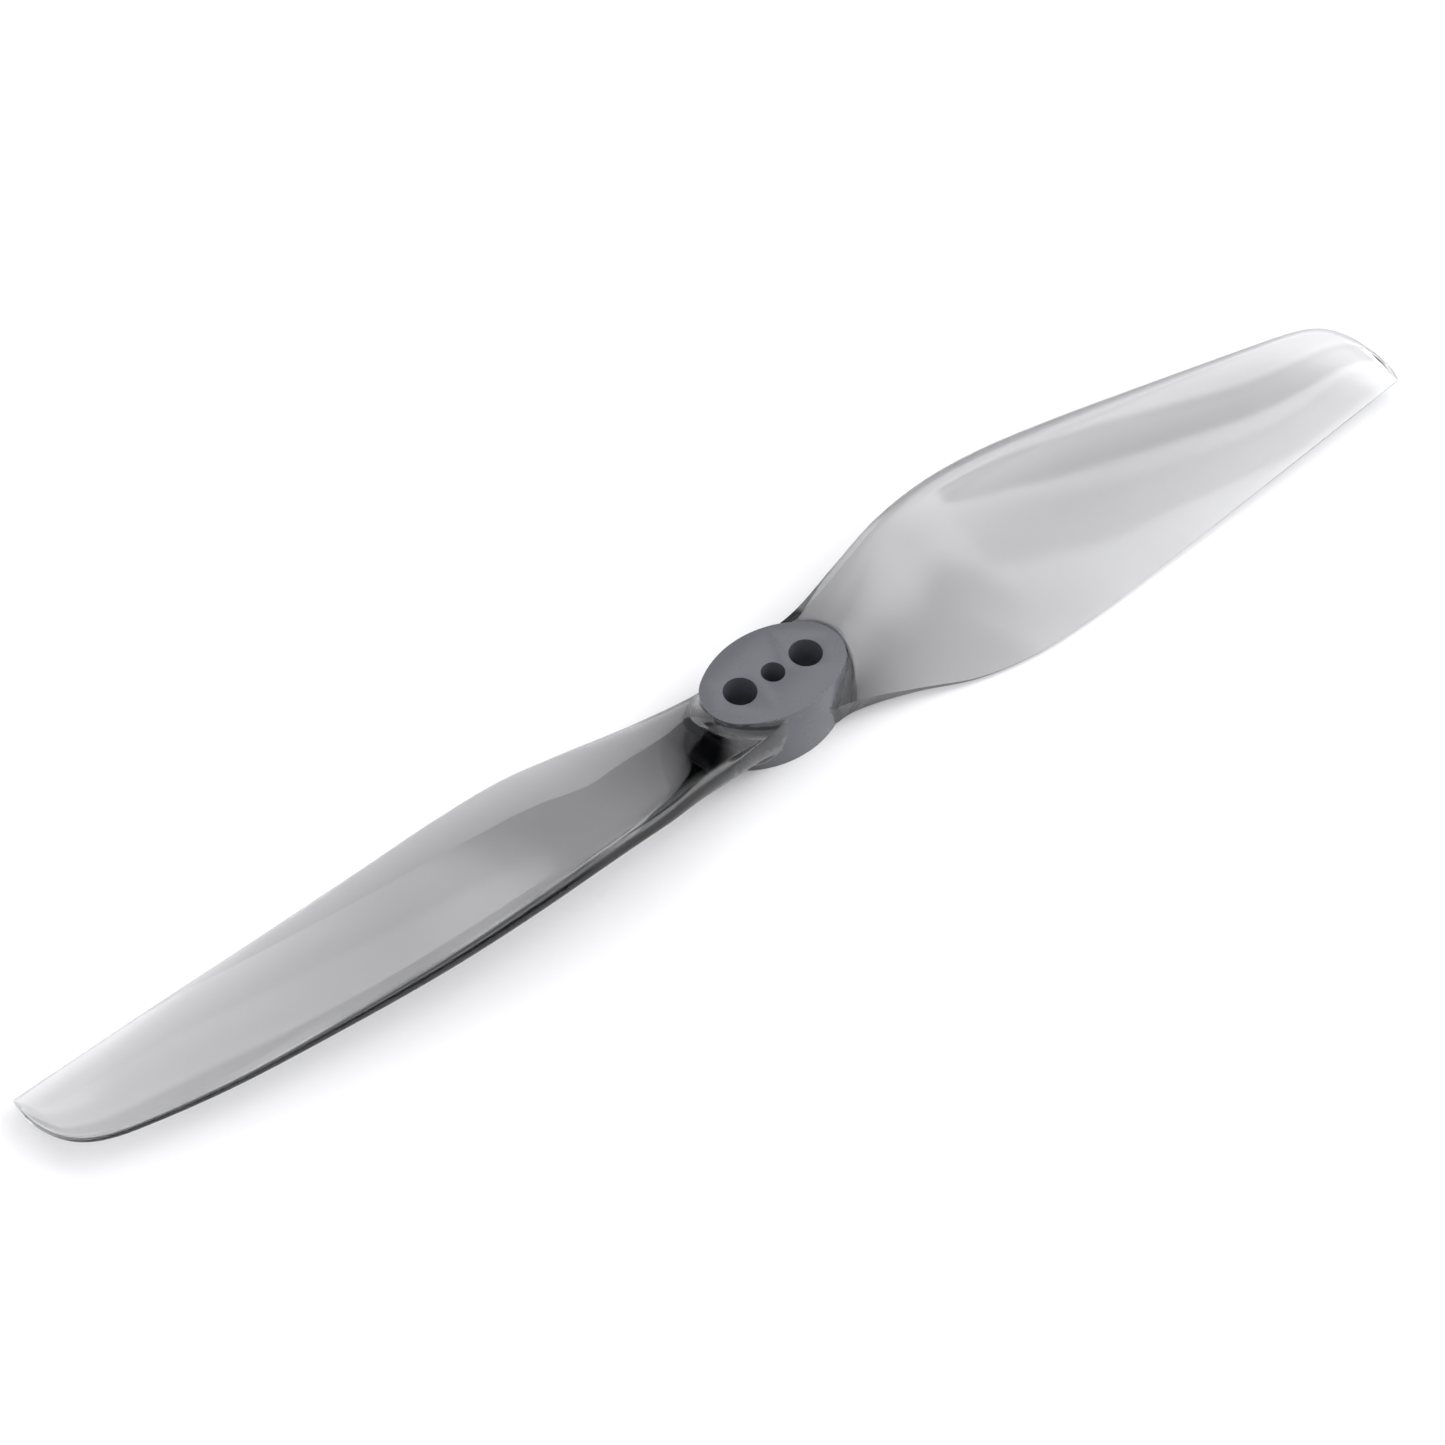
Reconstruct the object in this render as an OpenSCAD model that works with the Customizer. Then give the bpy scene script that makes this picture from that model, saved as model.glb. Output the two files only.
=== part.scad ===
// Two-blade propeller for a small quadcopter: one moulding made of an oval hub and two twisted blades.
// Millimetres, +Z up. The origin is the centre of the hub's bottom face, on the motor shaft's axis.
// Blade a points along +X and blade b along -X. Both lead with their higher, rounded edge,
// so the propeller turns counter-clockwise seen from above.

/* [Overall] */
// Diameter of the circle that the blade tips sweep
diameter = 101.6; // [96:0.1:110]

/* [Hub] */
// Length of the oval hub along the blades
hub_length = 10; // [9.6:0.1:11]
// Width of the oval hub across the blades
hub_width = 6.7; // [6.5:0.1:7.2]
// Height of the hub, from the motor face to the face under the screw heads
hub_height = 4.7; // [4.5:0.1:6]
// Radius of the round ends of the oval
hub_end_radius = 2.5; // [2.2:0.1:2.8]
// Bevel around the hub's top and bottom rims
rim_bevel = 0.12; // [0.05:0.01:0.3]

/* [Mounting holes] */
// Diameter of the hole that fits over the motor shaft
shaft_hole_diameter = 1.5; // [1:0.1:2]
// Diameter of each of the two screw clearance holes
screw_hole_diameter = 2.1; // [1.7:0.1:2.2]
// Distance between the two screw holes, centre to centre
screw_spacing = 5; // [4.8:0.1:5.2]

/* [Blade] */
// Height of the blade's mean line above its chord, as a share of the chord
camber = 0.05; // [0:0.005:0.08]
// Radius of the fillet where a blade grows out of the hub wall
root_fillet = 0.8; // [0.3:0.05:1]
// Height of the leading edge's ridge at the hub, as a share of half the blade's thickness
root_ridge = 0.95; // [0:0.05:0.95]
// Share of the blade's length where the rounded tip begins
tip_start = 0.84; // [0.75:0.01:0.9]
// Squareness of the tip: a bigger value makes a squarer tip
tip_squareness = 6.3; // [3:0.1:9]

/* [Hidden] */
// Columns of the station table
AT = 0;         // distance from the shaft axis, as a share of the blade's length
CHORD = 1;      // leading edge to trailing edge
PITCH = 2;      // angle of the chord above the horizontal, in degrees
TRAIL_Y = 3;    // position of the trailing edge across the blade
TRAIL_Z = 4;    // height of the trailing edge
THICKNESS = 5;  // thickness just behind the nose
EDGE = 6;       // thickness of the trailing edge
stations = [
    [0.00,  6.1,  3.5, -2.90, 1.35, 4.00, 2.10],
    [0.08,  6.9, 14.0, -2.95, 1.15, 3.15, 1.70],
    [0.16,  9.3, 22.3, -4.00, 0.80, 2.00, 0.75],
    [0.24, 11.9, 25.4, -5.25, 0.22, 1.40, 0.40],
    [0.32, 13.1, 25.2, -5.90, 0.15, 1.40, 0.26],
    [0.41, 13.1, 24.0, -5.85, 0.14, 1.40, 0.24],
    [0.53, 12.1, 21.5, -5.35, 0.26, 1.30, 0.22],
    [0.67, 10.5, 18.4, -4.70, 0.55, 1.05, 0.20],
    [0.83,  8.5, 15.0, -3.95, 0.94, 0.80, 0.20],
    [1.00,  6.0, 15.5, -3.10, 1.30, 0.55, 0.20]
];
last_station = len(stations) - 1;

// The tip is the trailing edge's outer corner, so the blade's length along X is a little under
// the tip radius.
tip_radius = diameter / 2;
tip_corner_y = stations[last_station][TRAIL_Y];
blade_length = sqrt(tip_radius ^ 2 - tip_corner_y ^ 2);
// The tip's curve would close just beyond the last slice, so the blade ends in a small flat
// and not in a point.
tip_close = 1.002;

// Nose of the blade section, in thicknesses, and the bulge of the taper behind it.
nose_length_ratio = 1.1;
nose_fullness = 4;
taper_power = 1.3;
// Beside the hub the leading edge is a ridge above a blunt front. Away from the hub it sinks to the middle
// of a round nose, and it is there at this share of the blade's length.
ridge_end = 0.25;
// Bulge of the upper surface behind the ridge: flatter than the nose, so that the ridge is crisp.
ridge_fullness = 2;
// A section never gets thicker than this share of its chord, which keeps the tip's corner slim.
most_thickness_share = 0.6;

// The oval is four arcs: two round ends, and two long sides that run into them smoothly.
end_centre = hub_length / 2 - hub_end_radius;
half_width = hub_width / 2;
side_radius = (end_centre ^ 2 + half_width ^ 2 - hub_end_radius ^ 2) / (2 * (half_width - hub_end_radius));
side_centre = side_radius - half_width;
arc_join_angle = atan2(side_centre, end_centre);

// Slices along the blade: close together at the hub, wide apart in the middle and close again at the tip.
root_zone_end = 0.15;
root_slices = 14;
root_crowding = 1.4;
middle_slices = 18;
tip_slices = 14;
side_points = 22;
round_facets = 96;
// How far the hole cutters reach beyond the hub's faces.
cut_over = 1;
// The blade's flat facets stop this far outside the hub's round wall, so that they meet it
// without cutting into it.
root_gap = 0.012;
// Steps of halving that find where the blade comes out of the wall.
halvings = 24;

hub_colour = [0.36, 0.36, 0.38];
blade_colour = [0.55, 0.55, 0.58];

function mix(a, b, share) = a + (b - a) * share;

// Slope of a station column at station i, measured between its neighbours.
function step_slope(column, i) =
    (stations[i + 1][column] - stations[i][column]) / (stations[i + 1][AT] - stations[i][AT]);
function slope(column, i) =
    i == 0 ? step_slope(column, 0) :
    i == last_station ? step_slope(column, last_station - 1) :
    (step_slope(column, i - 1) + step_slope(column, i)) / 2;

// Number of the station just inboard of the place asked for.
function station_before(at, i = 0) =
    i == last_station - 1 || at < stations[i + 1][AT] ? i : station_before(at, i + 1);

// Smooth value of a station column anywhere along the blade.
function value_at(column, at) =
    let (
        i = station_before(at),
        span = stations[i + 1][AT] - stations[i][AT],
        s = (at - stations[i][AT]) / span
    )
    stations[i][column] * (1 + 2 * s) * (1 - s) ^ 2
    + slope(column, i) * span * s * (1 - s) ^ 2
    + stations[i + 1][column] * s ^ 2 * (3 - 2 * s)
    + slope(column, i + 1) * span * s ^ 2 * (s - 1);

// The chord shrinks to nothing over the rounded tip.
function tip_share(at) =
    let (w = max(0, (at - tip_start) / (tip_close - tip_start)))
    sqrt(1 - w ^ tip_squareness);

// Distance of a point outside the hub's wall, negative inside it.
function wall_gap(x, y) =
    atan2(abs(y), abs(x) - end_centre) < arc_join_angle
    ? norm([abs(x) - end_centre, y]) - hub_end_radius
    : norm([x, abs(y) + side_centre]) - side_radius;

// Extra height that the root fillet gives a blade surface at a distance from the hub's wall.
function fillet_rise(gap) =
    let (run = root_fillet - min(max(gap, 0), root_fillet))
    root_fillet - sqrt(root_fillet ^ 2 - run ^ 2);

// How much of a ridge the leading edge is: 1 at the shaft axis, falling smoothly to 0.
function ridge_share(at) =
    let (w = max(0, 1 - at / ridge_end))
    w ^ 2 * (3 - 2 * w);

// Height of a section's surface above its mean line at a distance behind the leading edge,
// negative below it. side is 1 on the upper surface and -1 on the lower.
function surface_offset(back, chord, thick, edge, ridge, side) =
    let (
        nose = min(nose_length_ratio * thick, chord / 2),
        ahead = 1 - back / nose,
        round_rise = sqrt(1 - max(0, ahead) ^ nose_fullness),
        crisp_rise = 1 - max(0, ahead) ^ ridge_fullness
    )
    ahead < 0 ? side * mix(thick, edge, ((back - nose) / (chord - nose)) ^ taper_power) / 2 :
    side > 0 ? thick / 2 * mix(root_ridge * ridge, 1, mix(round_rise, crisp_rise, ridge)) :
    thick / 2 * mix(root_ridge * ridge, -1, round_rise);

// One point of a section. share runs from 0 at the leading edge to 1 at the trailing edge,
// and side is 1 on the upper surface and -1 on the lower. The fillet's rise stops at the hub's rims.
function section_point(at, share, side) =
    let (
        x = at * blade_length,
        chord = value_at(CHORD, at) * tip_share(at),
        pitch = value_at(PITCH, at),
        thick = min(value_at(THICKNESS, at), most_thickness_share * chord),
        edge = min(value_at(EDGE, at), thick),
        along = [cos(pitch), sin(pitch)],
        up = [-sin(pitch), cos(pitch)],
        offset = surface_offset(share * chord, chord, thick, edge, ridge_share(at), side),
        mean = 4 * camber * chord * share * (1 - share),
        trail = [value_at(TRAIL_Y, at), value_at(TRAIL_Z, at)],
        bare = trail + (1 - share) * chord * along + (mean + offset) * up,
        rise = fillet_rise(wall_gap(x, bare[0])) * abs(offset) / (thick / 2),
        to_rim = offset > 0 ? hub_height - rim_bevel - bare[1] : bare[1] - rim_bevel
    )
    [x, bare[0], bare[1] + sign(offset) * min(rise, max(0, to_rim))];

// Place along the blade where the line at this share of the chord comes out of the hub's wall,
// found by halving.
function root_place(share, side, low = 0, high = root_zone_end, steps = halvings) =
    let (
        middle = (low + high) / 2,
        point = section_point(middle, share, side)
    )
    steps == 0 ? middle :
    wall_gap(point[0], point[1]) > root_gap
    ? root_place(share, side, low, middle, steps - 1)
    : root_place(share, side, middle, high, steps - 1);

// Places along the blade of the points on one such line, from the hub's wall to the tip.
function line_places(share, side) =
    let (root = root_place(share, side))
    [
        for (i = [0 : root_slices - 1]) mix(root, root_zone_end, (i / root_slices) ^ root_crowding),
        for (i = [0 : middle_slices - 1]) mix(root_zone_end, tip_start, i / middle_slices),
        for (i = [0 : tip_slices]) mix(tip_start, 1, sin(90 * i / tip_slices))
    ];

function blade_line(share, side) = [for (at = line_places(share, side)) section_point(at, share, side)];

// Lines along the blade, in order around the section: the upper surface from the trailing edge to the nose,
// then the lower surface back to the trailing edge.
function all_blade_lines() = [
    for (i = [0 : side_points]) blade_line((1 + cos(180 * i / side_points)) / 2, 1),
    for (i = [1 : side_points]) blade_line((1 - cos(180 * i / side_points)) / 2, -1)
];

// A pie slice of the hub: the outer wall of one arc of the oval, with both rims bevelled.
module hub_arc(radius, start_angle, sweep, height, bevel) {
    rotate([0, 0, start_angle])
        rotate_extrude(angle = sweep, $fn = round_facets)
            polygon([
                [0, 0],
                [radius - bevel, 0],
                [radius, bevel],
                [radius, height - bevel],
                [radius - bevel, height],
                [0, height]
            ]);
}

// The solid oval, without its holes.
module oval_body(height, bevel) {
    side_sweep = 180 - 2 * arc_join_angle;
    for (turn = [0, 180])
        rotate([0, 0, turn]) {
            translate([end_centre, 0, 0])
                hub_arc(hub_end_radius, -arc_join_angle, 2 * arc_join_angle, height, bevel);
            translate([0, -side_centre, 0])
                hub_arc(side_radius, arc_join_angle, side_sweep, height, bevel);
        }
}

module through_hole(x, hole_diameter) {
    translate([x, 0, -cut_over])
        cylinder(h = hub_height + 2 * cut_over, d = hole_diameter, $fn = round_facets);
}

module hub() {
    color(hub_colour)
        difference() {
            oval_body(hub_height, rim_bevel);
            through_hole(0, shaft_hole_diameter);
            for (side = [-1, 1])
                through_hole(side * screw_spacing / 2, screw_hole_diameter);
        }
}

// One blade along +X, from the hub's wall to the tip: a closed skin over the lines.
module blade() {
    lines = all_blade_lines();
    ring = len(lines);
    rows = len(lines[0]);
    points = [for (line = lines) each line];
    skin = [
        for (i = [0 : ring - 1], row = [0 : rows - 2])
            let (
                here = i * rows + row,
                beside = (i + 1) % ring * rows + row
            )
            each [
                [here, beside + 1, here + 1],
                [here, beside, beside + 1]
            ]
    ];
    // Each end is closed by strips that join the upper surface to the lower one.
    ends = [
        for (i = [0 : side_points - 1])
            let (
                upper = i * rows,
                upper_next = (i + 1) * rows,
                lower = (ring - 1 - i) * rows,
                lower_next = (ring - 2 - i) * rows,
                outer = rows - 1
            )
            each concat(
                [
                    [upper, lower, upper_next],
                    [outer + upper, outer + upper_next, outer + lower]
                ],
                upper_next == lower_next ? [] : [
                    [upper_next, lower, lower_next],
                    [outer + upper_next, outer + lower_next, outer + lower]
                ]
            )
    ];
    polyhedron(points = points, faces = concat(skin, ends));
}

module blade_a() {
    color(blade_colour)
        blade();
}

module blade_b() {
    color(blade_colour)
        rotate([0, 0, 180])
            blade();
}

hub();
blade_a();
blade_b();
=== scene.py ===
import math

import bpy
import numpy as np
from mathutils import Matrix, Vector


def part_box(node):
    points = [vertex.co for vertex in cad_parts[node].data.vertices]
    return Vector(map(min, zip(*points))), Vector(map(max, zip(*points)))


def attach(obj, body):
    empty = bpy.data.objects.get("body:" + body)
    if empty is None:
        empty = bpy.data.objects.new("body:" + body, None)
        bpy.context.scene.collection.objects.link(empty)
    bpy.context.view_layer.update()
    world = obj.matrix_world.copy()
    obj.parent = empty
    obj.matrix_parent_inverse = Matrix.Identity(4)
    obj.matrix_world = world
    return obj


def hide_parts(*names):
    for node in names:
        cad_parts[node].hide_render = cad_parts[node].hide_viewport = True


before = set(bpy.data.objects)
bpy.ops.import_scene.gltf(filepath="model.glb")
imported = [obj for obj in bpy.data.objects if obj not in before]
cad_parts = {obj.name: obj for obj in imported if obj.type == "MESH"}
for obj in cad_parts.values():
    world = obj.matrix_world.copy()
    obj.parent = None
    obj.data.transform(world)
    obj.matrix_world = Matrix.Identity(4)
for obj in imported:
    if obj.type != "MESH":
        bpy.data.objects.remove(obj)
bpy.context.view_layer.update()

MM = 0.001

# ---------------------------------------------------------------- dimensions, in millimetres
# These repeat the CAD's own driving dimensions. The overall sizes are read from the frame.
hub_low, hub_high = (np.array(corner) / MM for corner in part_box("hub"))
HUB_LENGTH, HUB_WIDTH, HUB_HEIGHT = hub_high - hub_low
HUB_END_RADIUS = 2.5
RIM_ROUND = 0.12         # rounding of the hub's rims and of the holes' rims
SHAFT_HOLE_DIAMETER = 1.5
SCREW_HOLE_DIAMETER = 2.1
SCREW_SPACING = 5.0

BLADE_LENGTH = np.array(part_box("blade_a")[1])[0] / MM
CAMBER = 0.05            # height of the mean line, as a share of the chord
ROOT_FILLET = 0.8
TIP_START = 0.84         # share of the blade's length where the rounded tip begins
TIP_CLOSE = 1.002        # where the tip's curve would close, just beyond the blade's end
TIP_SQUARENESS = 6.3
NOSE_LENGTH_RATIO = 1.1  # length of the section's nose, in thicknesses
NOSE_FULLNESS = 4
TAPER_POWER = 1.3        # bulge of the section's taper behind its nose
ROOT_RIDGE = 0.95        # height of the leading edge's ridge at the hub, in half thicknesses
RIDGE_END = 0.25         # share of the blade's length where the ridge has gone
RIDGE_FULLNESS = 2
MOST_THICKNESS_SHARE = 0.6
ROOT_OVERLAP = 0.25      # how far the blade's skin runs on inside the hub's wall

# Slices along the blade: close together at the hub and at the tip.
ROOT_ZONE_END = 0.15
ROOT_SLICES = 60
ROOT_CROWDING = 1.4
MIDDLE_SLICES = 90
TIP_SLICES = 60
SIDE_POINTS = 64
HALVINGS = 30
BLADE_SHARP_ANGLE = math.radians(50)

ARC_STEPS = 48           # facets of each of the oval's four arcs
HOLE_STEPS = 72
RIM_SEGMENTS = 4
RIM_SHARP_ANGLE = math.radians(40)
HUB_SHARP_ANGLE = math.radians(30)
CUT_OVER = 1.0           # how far the hole cutters reach beyond the hub's faces

# Stations along the blade: share of its length, chord, pitch in degrees, place across and height of the
# trailing edge, thickness just behind the nose, and thickness of the trailing edge.
AT, CHORD, PITCH, TRAIL_Y, TRAIL_Z, THICKNESS, EDGE = range(7)
STATIONS = np.array([
    [0.00,  6.1,  3.5, -2.90, 1.35, 4.00, 2.10],
    [0.08,  6.9, 14.0, -2.95, 1.15, 3.15, 1.70],
    [0.16,  9.3, 22.3, -4.00, 0.80, 2.00, 0.75],
    [0.24, 11.9, 25.4, -5.25, 0.22, 1.40, 0.40],
    [0.32, 13.1, 25.2, -5.90, 0.15, 1.40, 0.26],
    [0.41, 13.1, 24.0, -5.85, 0.14, 1.40, 0.24],
    [0.53, 12.1, 21.5, -5.35, 0.26, 1.30, 0.22],
    [0.67, 10.5, 18.4, -4.70, 0.55, 1.05, 0.20],
    [0.83,  8.5, 15.0, -3.95, 0.94, 0.80, 0.20],
    [1.00,  6.0, 15.5, -3.10, 1.30, 0.55, 0.20],
])

# The oval is four arcs: two round ends, and two long sides that run into them smoothly.
END_CENTRE = HUB_LENGTH / 2 - HUB_END_RADIUS
HALF_WIDTH = HUB_WIDTH / 2
SIDE_RADIUS = (END_CENTRE ** 2 + HALF_WIDTH ** 2 - HUB_END_RADIUS ** 2) / (2 * (HALF_WIDTH - HUB_END_RADIUS))
SIDE_CENTRE = SIDE_RADIUS - HALF_WIDTH
ARC_JOIN = math.atan2(SIDE_CENTRE, END_CENTRE)


# ---------------------------------------------------------------- blade surface
def value_at(column, at):
    """Smooth value of a station column at places along the blade."""
    place, value = STATIONS[:, AT], STATIONS[:, column]
    step = np.diff(value) / np.diff(place)
    slope = np.concatenate([step[:1], (step[:-1] + step[1:]) / 2, step[-1:]])
    i = np.clip(np.searchsorted(place, at, side="right") - 1, 0, len(place) - 2)
    span = place[i + 1] - place[i]
    s = (at - place[i]) / span
    return (value[i] * (1 + 2 * s) * (1 - s) ** 2 + slope[i] * span * s * (1 - s) ** 2
            + value[i + 1] * s ** 2 * (3 - 2 * s) + slope[i + 1] * span * s ** 2 * (s - 1))


def tip_share(at):
    """How much of the chord the rounded tip leaves."""
    w = np.maximum(0, (at - TIP_START) / (TIP_CLOSE - TIP_START))
    return np.sqrt(1 - w ** TIP_SQUARENESS)


def wall_gap(x, y):
    """Distance of points outside the hub's wall, negative inside it."""
    at_end = np.arctan2(np.abs(y), np.abs(x) - END_CENTRE) < ARC_JOIN
    return np.where(
        at_end,
        np.hypot(np.abs(x) - END_CENTRE, y) - HUB_END_RADIUS,
        np.hypot(x, np.abs(y) + SIDE_CENTRE) - SIDE_RADIUS,
    )


def mix(a, b, share):
    return a + (b - a) * share


def ridge_share(at):
    """How much of a ridge the leading edge is: 1 at the shaft axis, falling smoothly to 0."""
    w = np.maximum(0, 1 - at / RIDGE_END)
    return w ** 2 * (3 - 2 * w)


def fillet_rise(gap):
    """Extra height that the root fillet gives a blade surface at a distance from the hub's wall."""
    run = ROOT_FILLET - np.clip(gap, 0, ROOT_FILLET)
    return ROOT_FILLET - np.sqrt(ROOT_FILLET ** 2 - run ** 2)


def blade_points(at, share, side):
    """Points of the blade's skin. share is 0 at the leading edge and 1 at the trailing edge,
    and side is 1 on the upper surface and -1 on the lower. The fillet's rise stops at the hub's rims."""
    chord = value_at(CHORD, at) * tip_share(at)
    pitch = np.radians(value_at(PITCH, at))
    thick = np.minimum(value_at(THICKNESS, at), MOST_THICKNESS_SHARE * chord)
    edge = np.minimum(value_at(EDGE, at), thick)
    nose = np.minimum(NOSE_LENGTH_RATIO * thick, chord / 2)
    back = share * chord
    ahead = np.clip(1 - back / nose, 0, 1)
    ridge = ridge_share(at)
    round_rise = np.sqrt(1 - ahead ** NOSE_FULLNESS)
    crisp_rise = 1 - ahead ** RIDGE_FULLNESS
    above = thick / 2 * mix(ROOT_RIDGE * ridge, 1, mix(round_rise, crisp_rise, ridge))
    below = thick / 2 * mix(ROOT_RIDGE * ridge, -1, round_rise)
    taper = np.clip((back - nose) / (chord - nose), 0, 1) ** TAPER_POWER
    offset = np.where(back > nose, side * mix(thick, edge, taper) / 2, np.where(side > 0, above, below))
    mean = 4 * CAMBER * chord * share * (1 - share)
    x = at * BLADE_LENGTH
    y = value_at(TRAIL_Y, at) + (1 - share) * chord * np.cos(pitch) - (mean + offset) * np.sin(pitch)
    z = value_at(TRAIL_Z, at) + (1 - share) * chord * np.sin(pitch) + (mean + offset) * np.cos(pitch)
    rise = fillet_rise(wall_gap(x, y)) * np.abs(offset) / (thick / 2)
    to_rim = np.where(offset > 0, HUB_HEIGHT - RIM_ROUND - z, z - RIM_ROUND)
    z = z + np.sign(offset) * np.minimum(rise, np.maximum(0, to_rim))
    return np.stack([x, y, z], axis=-1)


def root_places(share, side):
    """Where each line along the blade starts: at the overlap's depth inside the hub's wall,
    found by halving."""
    low, high = np.zeros_like(share), np.full_like(share, ROOT_ZONE_END)
    for _ in range(HALVINGS):
        middle = (low + high) / 2
        point = blade_points(middle, share, side)
        outside = wall_gap(point[:, 0], point[:, 1]) > -ROOT_OVERLAP
        high = np.where(outside, middle, high)
        low = np.where(outside, low, middle)
    return (low + high) / 2


def blade_mesh(name):
    """The blade's skin: lines along it, in order around the section, with both ends closed by strips."""
    turn = np.pi * np.arange(SIDE_POINTS + 1) / SIDE_POINTS
    share = np.concatenate([(1 + np.cos(turn)) / 2, (1 - np.cos(turn[1:])) / 2])
    side = np.concatenate([np.ones(SIDE_POINTS + 1), -np.ones(SIDE_POINTS)])
    root = root_places(share, side)[:, None]
    grow = (np.arange(ROOT_SLICES) / ROOT_SLICES) ** ROOT_CROWDING
    middle = np.linspace(ROOT_ZONE_END, TIP_START, MIDDLE_SLICES, endpoint=False)
    tip = TIP_START + (1 - TIP_START) * np.sin(np.linspace(0, np.pi / 2, TIP_SLICES + 1))
    places = np.concatenate([
        root + (ROOT_ZONE_END - root) * grow,
        np.tile(middle, (len(share), 1)),
        np.tile(tip, (len(share), 1)),
    ], axis=1)
    points = blade_points(places, share[:, None], side[:, None])
    ring, rows = places.shape
    faces = []
    for i in range(ring):
        here, beside = i * rows, (i + 1) % ring * rows
        faces += [(here + r, here + r + 1, beside + r + 1, beside + r) for r in range(rows - 1)]
    for i in range(SIDE_POINTS):
        strip = [i * rows, (ring - 1 - i) * rows, (ring - 2 - i) * rows, (i + 1) * rows]
        if strip[2] == strip[3]:
            strip.pop()
        faces.append(tuple(reversed(strip)))
        faces.append(tuple(v + rows - 1 for v in strip))
    mesh = bpy.data.meshes.new(name)
    mesh.from_pydata((points.reshape(-1, 3) * MM).tolist(), [], faces)
    mesh.update()
    mesh.shade_smooth()
    mesh.set_sharp_from_angle(angle=BLADE_SHARP_ANGLE)
    return mesh


# ---------------------------------------------------------------- hub
def oval_outline():
    """Points around the hub's oval, counter-clockwise."""
    points = []
    for half in (1, -1):
        for centre, radius, start, sweep in (
            ((END_CENTRE, 0), HUB_END_RADIUS, -ARC_JOIN, 2 * ARC_JOIN),
            ((0, -SIDE_CENTRE), SIDE_RADIUS, ARC_JOIN, math.pi - 2 * ARC_JOIN),
        ):
            for k in range(ARC_STEPS):
                angle = start + sweep * k / ARC_STEPS
                x = centre[0] + radius * math.cos(angle)
                y = centre[1] + radius * math.sin(angle)
                points.append((half * x, half * y))
    return points


def circle_outline(x, diameter):
    points = []
    for k in range(HOLE_STEPS):
        angle = 2 * math.pi * k / HOLE_STEPS
        points.append((x + diameter / 2 * math.cos(angle), diameter / 2 * math.sin(angle)))
    return points


def prism(name, outline, low, high):
    """An upright solid with this outline, between two heights."""
    mesh = bpy.data.meshes.new(name)
    n = len(outline)
    verts = [(x * MM, y * MM, z * MM) for z in (low, high) for x, y in outline]
    faces = [tuple(range(n))[::-1], tuple(range(n, 2 * n))]
    faces += [(i, (i + 1) % n, n + (i + 1) % n, n + i) for i in range(n)]
    mesh.from_pydata(verts, [], faces)
    mesh.update()
    obj = bpy.data.objects.new(name, mesh)
    bpy.context.collection.objects.link(obj)
    return obj


def apply_modifiers(obj):
    graph = bpy.context.evaluated_depsgraph_get()
    mesh = bpy.data.meshes.new_from_object(obj.evaluated_get(graph))
    obj.modifiers.clear()
    obj.data = mesh


def make_hub():
    """The oval with its three holes cut through it, and every rim rounded."""
    hub = prism("hub_body", oval_outline(), 0, HUB_HEIGHT)
    holes = (
        (0, SHAFT_HOLE_DIAMETER),
        (SCREW_SPACING / 2, SCREW_HOLE_DIAMETER),
        (-SCREW_SPACING / 2, SCREW_HOLE_DIAMETER),
    )
    for x, diameter in holes:
        cutter = prism("cutter", circle_outline(x, diameter), -CUT_OVER, HUB_HEIGHT + CUT_OVER)
        cut = hub.modifiers.new("cut", "BOOLEAN")
        cut.operation = "DIFFERENCE"
        cut.solver = "EXACT"
        cut.object = cutter
        apply_modifiers(hub)
        bpy.data.objects.remove(cutter)
    bevel = hub.modifiers.new("rim", "BEVEL")
    bevel.width = RIM_ROUND * MM
    bevel.segments = RIM_SEGMENTS
    bevel.limit_method = "ANGLE"
    bevel.angle_limit = RIM_SHARP_ANGLE
    apply_modifiers(hub)
    hub.data.shade_smooth()
    hub.data.set_sharp_from_angle(angle=HUB_SHARP_ANGLE)
    return hub


# ---------------------------------------------------------------- materials
PLASTIC_IOR = 1.58
PATCH_SCALE = 400            # noise cells per metre in the plastic's faint changes of gloss
NOISE_DETAIL = 3.0
NOISE_LOW, NOISE_HIGH = 0.35, 0.65   # the range that a noise mostly keeps to
BUMP_HEIGHT = 0.00002        # metres
FLOOR_ROUGHNESS = 0.9
FLOOR_GLOSS = 0.1
FLOOR_GRAIN_SCALE = 30
FLOOR_TONES = ((0.90, 0.90, 0.91, 1), (0.92, 0.92, 0.93, 1))


def new_material(name):
    material = bpy.data.materials.new(name)
    material.use_nodes = True
    nodes = material.node_tree.nodes
    return material, nodes, material.node_tree.links, nodes["Principled BSDF"], nodes["Material Output"]


def add_noise(nodes, links, scale):
    place = nodes.new("ShaderNodeTexCoord")
    noise = nodes.new("ShaderNodeTexNoise")
    noise.inputs["Scale"].default_value = scale
    noise.inputs["Detail"].default_value = NOISE_DETAIL
    links.new(place.outputs["Object"], noise.inputs["Vector"])
    return noise


def map_range(nodes, links, value, low, high, start=NOISE_LOW, end=NOISE_HIGH):
    """Maps start..end, by default a noise's usual range, to low..high."""
    node = nodes.new("ShaderNodeMapRange")
    node.inputs["From Min"].default_value = start
    node.inputs["From Max"].default_value = end
    node.inputs["To Min"].default_value = low
    node.inputs["To Max"].default_value = high
    links.new(value, node.inputs["Value"])
    return node


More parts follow.
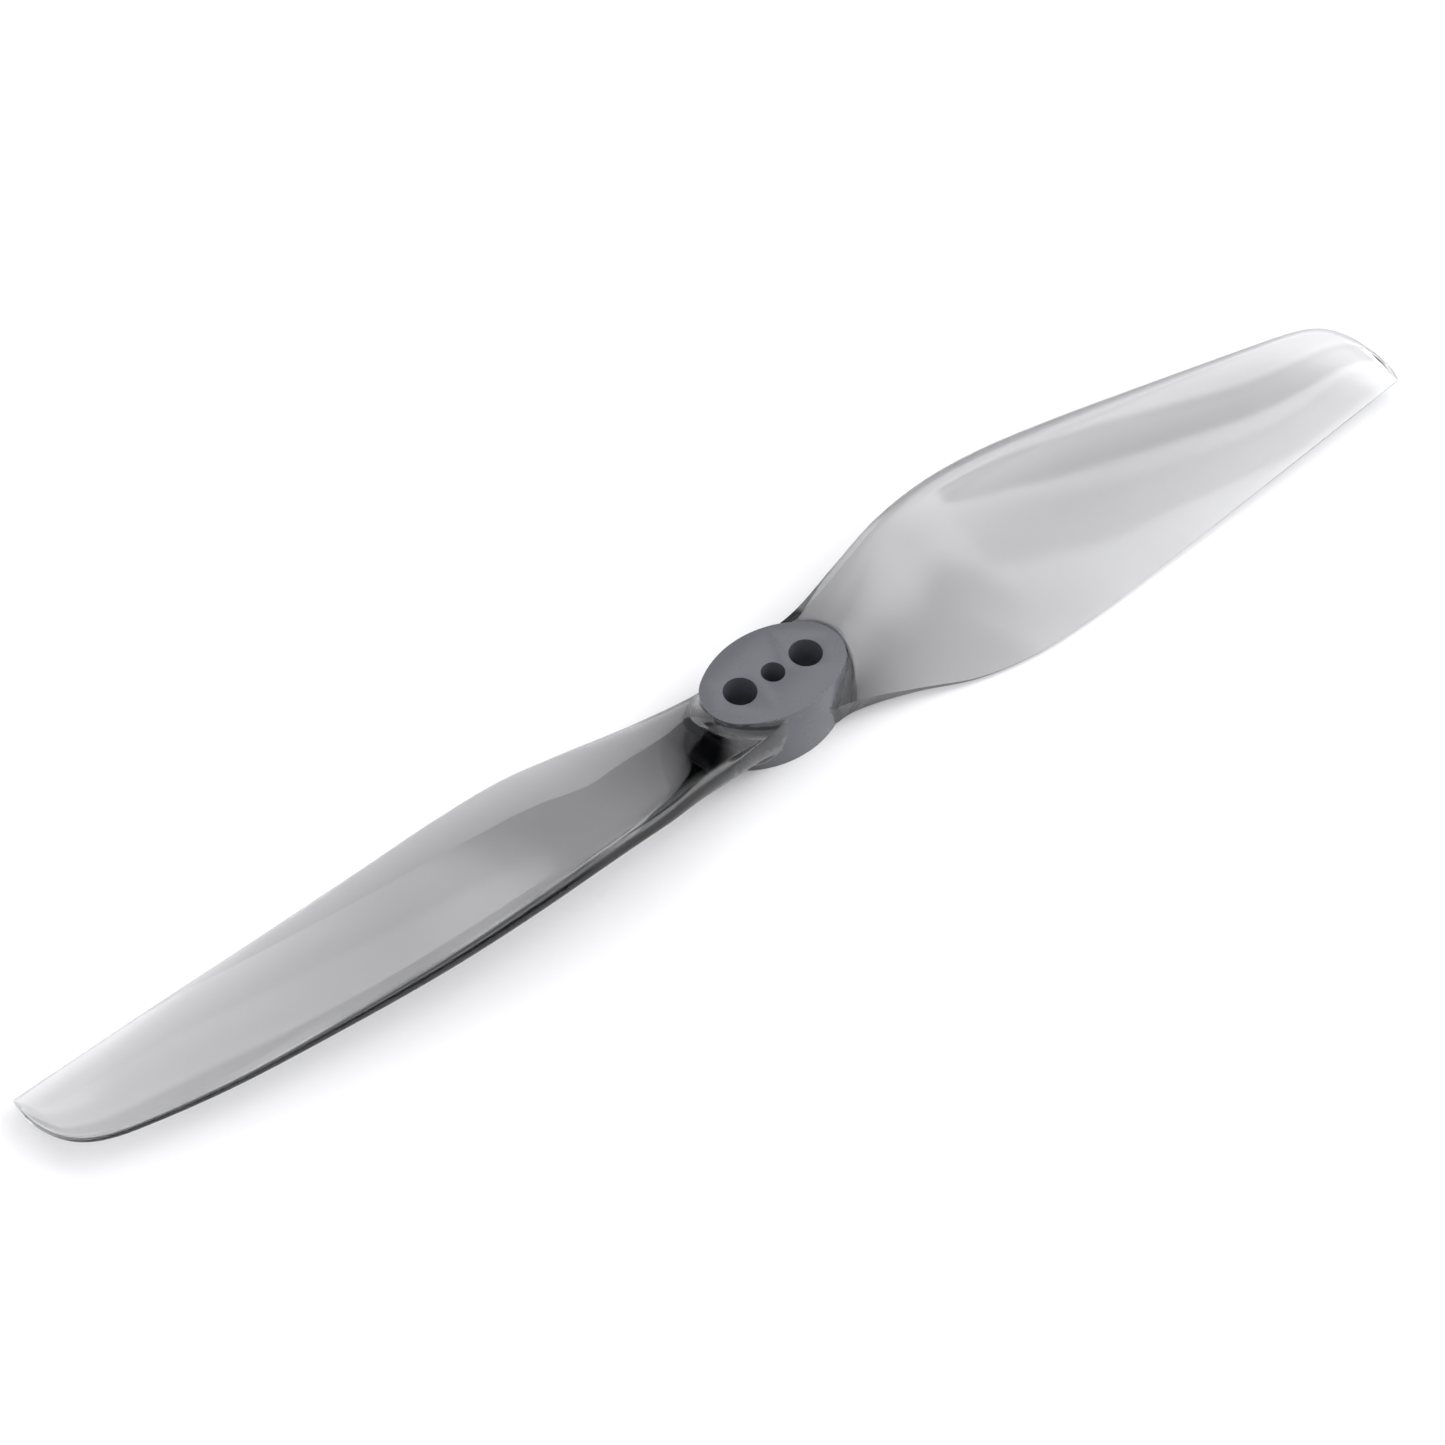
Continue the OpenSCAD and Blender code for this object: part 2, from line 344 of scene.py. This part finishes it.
def plastic(name, base, transmission, rough, bump_scale, bump_strength, absorb, density):
    """A see-through plastic that darkens what passes through it, by its colour and density per metre.
    rough is the range that its roughness wanders over."""
    material, nodes, links, shader, output = new_material(name)
    shader.inputs["Base Color"].default_value = (*base, 1)
    shader.inputs["IOR"].default_value = PLASTIC_IOR
    shader.inputs["Transmission Weight"].default_value = transmission
    patches = add_noise(nodes, links, PATCH_SCALE)
    roughness = map_range(nodes, links, patches.outputs["Fac"], *rough)
    links.new(roughness.outputs["Result"], shader.inputs["Roughness"])
    grain = add_noise(nodes, links, bump_scale)
    bump = nodes.new("ShaderNodeBump")
    bump.inputs["Strength"].default_value = bump_strength
    bump.inputs["Distance"].default_value = BUMP_HEIGHT
    links.new(grain.outputs["Fac"], bump.inputs["Height"])
    links.new(bump.outputs["Normal"], shader.inputs["Normal"])
    volume = nodes.new("ShaderNodeVolumeAbsorption")
    volume.inputs["Color"].default_value = (*absorb, 1)
    volume.inputs["Density"].default_value = density
    links.new(volume.outputs["Volume"], output.inputs["Volume"])
    return material


def floor_material():
    material, nodes, links, shader, output = new_material("floor_paper")
    shader.inputs["Roughness"].default_value = FLOOR_ROUGHNESS
    shader.inputs["Specular IOR Level"].default_value = FLOOR_GLOSS
    grain = add_noise(nodes, links, FLOOR_GRAIN_SCALE)
    tone = nodes.new("ShaderNodeMix")
    tone.data_type = "RGBA"
    tone.inputs["A"].default_value = FLOOR_TONES[0]
    tone.inputs["B"].default_value = FLOOR_TONES[1]
    links.new(grain.outputs["Fac"], tone.inputs["Factor"])
    links.new(tone.outputs["Result"], shader.inputs["Base Color"])
    return material


# ---------------------------------------------------------------- the object
blade_plastic = plastic(
    "blade_smoke_plastic",
    base=(0.97, 0.97, 0.97),
    transmission=1.0,
    rough=(0.02, 0.05),
    bump_scale=120,
    bump_strength=0.01,
    absorb=(0.50, 0.50, 0.51),
    density=660,
)
hub_plastic = plastic(
    "hub_smoke_plastic",
    base=(0.108, 0.111, 0.127),
    transmission=0.12,
    rough=(0.22, 0.30),
    bump_scale=3000,
    bump_strength=0.12,
    absorb=(0.50, 0.50, 0.52),
    density=840,
)

hub = make_hub()
hub.data.materials.clear()
hub.data.materials.append(hub_plastic)
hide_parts("hub")
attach(hub, "root")

for name, turn in (("blade_a", 0), ("blade_b", math.pi)):
    mesh = blade_mesh(name + "_skin")
    mesh.transform(Matrix.Rotation(turn, 4, "Z"))
    mesh.materials.append(blade_plastic)
    blade = bpy.data.objects.new(name + "_skin", mesh)
    bpy.context.collection.objects.link(blade)
    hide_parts(name)
    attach(blade, "root")

# ---------------------------------------------------------------- stage, light and camera
HALF_FLOOR = 2.0             # metres
FLOOR_DROP = 0.00002         # metres below the object, so that the two never share a plane
floor_corners = [(x * HALF_FLOOR, y * HALF_FLOOR, 0) for x, y in ((-1, -1), (1, -1), (1, 1), (-1, 1))]
floor_mesh = bpy.data.meshes.new("floor")
floor_mesh.from_pydata(floor_corners, [], [(0, 1, 2, 3)])
floor_mesh.materials.append(floor_material())
floor = bpy.data.objects.new("floor", floor_mesh)
floor.location.z = -FLOOR_DROP
bpy.context.collection.objects.link(floor)

# The studio: soft light panels all round. Each row has where the panel starts and ends in azimuth and in
# elevation, its radiance, and how far its edges fade, all angles in degrees. Azimuth runs clockwise from +Y
# as seen from above. A negative radiance is a dark card in front of the panels behind it.
PANELS = (
    (-75, -15, -3, 20, 1.5, 2.5),     # low, behind the left blade
    (-15, 12, -3, 20, 1.9, 2.5),      # behind the object
    (-15, 12, 20, 42, 2.5, 2.5),
    (12, 30, -3, 42, 0.3, 2.5),
    (-60, 32, 42, 68, 0.85, 6),
    (32, 80, 40, 68, 1.8, 7),
    (80, 135, 28, 68, 3.8, 8),        # the main window, in front on the right
    (80, 99, 38, 62, -2.7, 2.5),      # the card that shows as a band along the right blade
    (99, 160, -3, 28, 1.2, 6),
    (135, 160, 28, 68, 1.6, 8),
    (160, 300, -3, 30, 0.2, 6),       # the camera's side
    (160, 300, 30, 68, 1.2, 6),
    (-360, 360, 68, 98, 1.65, 8),     # overhead
)
WORLD_TINT = (1.0, 1.0, 1.015)


def math_node(nodes, links, operation, first, second=0):
    """A node that works out operation(first, second). Each of them is a number or another node's output."""
    node = nodes.new("ShaderNodeMath")
    node.operation = operation
    for slot, value in zip(node.inputs, (first, second)):
        if isinstance(value, (int, float)):
            slot.default_value = value
        else:
            links.new(value, slot)
    return node.outputs[0]


def soft_band(nodes, links, angle, start, end, fade):
    """1 between two angles and 0 outside them, fading over this many degrees either side of each."""
    offset = math_node(nodes, links, "SUBTRACT", angle, math.radians((start + end) / 2))
    turned = nodes.new("ShaderNodeMath")
    turned.operation = "WRAP"
    turned.inputs[1].default_value = math.pi
    turned.inputs[2].default_value = -math.pi
    links.new(offset, turned.inputs[0])
    distance = math_node(nodes, links, "ABSOLUTE", turned.outputs[0])
    half = (end - start) / 2
    edges = map_range(nodes, links, distance, 1, 0, math.radians(half - fade), math.radians(half + fade))
    edges.interpolation_type = "SMOOTHSTEP"
    return edges.outputs["Result"]


def studio_world():
    """Sums the panels for each direction of view, and tints the sum."""
    world = bpy.data.worlds.new("studio")
    world.use_nodes = True
    nodes, links = world.node_tree.nodes, world.node_tree.links
    place = nodes.new("ShaderNodeTexCoord")
    parts = nodes.new("ShaderNodeSeparateXYZ")
    links.new(place.outputs["Generated"], parts.inputs["Vector"])
    azimuth = math_node(nodes, links, "ARCTAN2", parts.outputs["X"], parts.outputs["Y"])
    elevation = math_node(nodes, links, "ARCSINE", parts.outputs["Z"])
    radiance = 0
    for left, right, low, high, strength, fade in PANELS:
        across = soft_band(nodes, links, azimuth, left, right, fade)
        upward = soft_band(nodes, links, elevation, low, high, fade)
        panel = math_node(nodes, links, "MULTIPLY", across, upward)
        panel = math_node(nodes, links, "MULTIPLY", panel, strength)
        radiance = math_node(nodes, links, "ADD", panel, radiance)
    radiance = math_node(nodes, links, "MAXIMUM", radiance, 0)
    tint = nodes.new("ShaderNodeCombineColor")
    for channel, factor in zip(("Red", "Green", "Blue"), WORLD_TINT):
        links.new(math_node(nodes, links, "MULTIPLY", radiance, factor), tint.inputs[channel])
    links.new(tint.outputs["Color"], nodes["Background"].inputs["Color"])
    bpy.context.scene.world = world


studio_world()

# The camera's direction and place. Its azimuth is counter-clockwise from -Y. In its view the origin is this
# far to the right of the middle, above it and in front of the camera, in millimetres.
AZIMUTH, ELEVATION, ROLL = (math.radians(a) for a in (-36.88, 52.35, 0.09))
FOCAL_SHARE = 1.999          # focal length, in widths of the picture
SENSOR_MM = 36.0
SIDEWAYS, UPWARD, AWAY = 3.057, 0.196, 178.616
NEAREST = 0.005              # metres
back = Vector((
    math.sin(AZIMUTH) * math.cos(ELEVATION),
    -math.cos(AZIMUTH) * math.cos(ELEVATION),
    math.sin(ELEVATION),
))
level = Vector((math.cos(AZIMUTH), math.sin(AZIMUTH), 0))
upright = back.cross(level)
right = math.cos(ROLL) * level + math.sin(ROLL) * upright
up = math.cos(ROLL) * upright - math.sin(ROLL) * level
camera_data = bpy.data.cameras.new("camera")
camera_data.sensor_width = SENSOR_MM
camera_data.lens = SENSOR_MM * FOCAL_SHARE
camera_data.clip_start = NEAREST
camera = bpy.data.objects.new("camera", camera_data)
camera.matrix_world = Matrix((
    (right.x, up.x, back.x, 0),
    (right.y, up.y, back.y, 0),
    (right.z, up.z, back.z, 0),
    (0, 0, 0, 1),
))
camera.location = (-SIDEWAYS * right - UPWARD * up + AWAY * back) * MM
bpy.context.collection.objects.link(camera)
bpy.context.scene.camera = camera
bpy.context.scene.view_settings.view_transform = "Standard"
